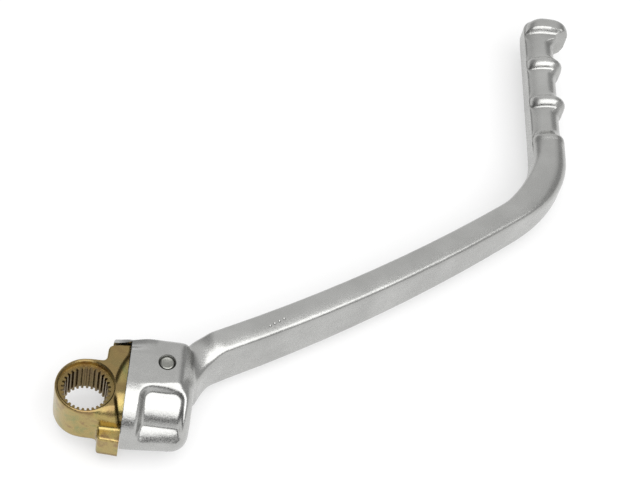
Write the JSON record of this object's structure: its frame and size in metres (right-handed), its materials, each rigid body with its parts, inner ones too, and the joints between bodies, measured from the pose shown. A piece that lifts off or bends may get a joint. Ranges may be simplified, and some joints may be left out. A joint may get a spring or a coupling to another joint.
{
  "type": "kick start lever",
  "caption": "Folding kick start lever: a forged arm with a ribbed foot pedal that folds on a splined steel knuckle.",
  "frame": {"origin": "middle of the splined bore, on the shaft's axis and on the fold axis", "axes": "+Z along the kick shaft away from the engine, +X along the fold axis from the shaft to the arm, +Y the way the pedal reaches with the lever folded flat"},
  "size_m": [0.2244, 0.2618, 0.0384],
  "materials": {
    "forged_aluminium": "fine-blasted and tumbled, satin silver",
    "yellow_zinc_steel": "yellow chromate over zinc, iridescent, semi-gloss",
    "bright_steel": "ground steel",
    "seal_rubber": "matt black"
  },
  "bodies": {
    "arm": {"kick_arm": "forged_aluminium", "retaining_pin": "bright_steel", "thrust_washer": "bright_steel"},
    "knuckle": {"knuckle": "yellow_zinc_steel", "seal_ring": "seal_rubber", "detent_spring": "bright_steel"},
    "detent": {"detent_ball": "bright_steel"}
  },
  "joints": [
    {"name": "fold", "type": "hinge", "parent": "arm", "child": "knuckle", "pos_m": [0.0162, 0, 0], "axis": [1, 0, 0], "range_deg": [0, 90]},
    {"name": "detent_click", "type": "slide", "parent": "knuckle", "child": "detent", "axis": [1, 0, 0], "range_m": [0, 0.0005], "stiffness_N_per_m": 800, "springref_m": 0.004, "deforming": ["detent_spring"]}
  ]
}
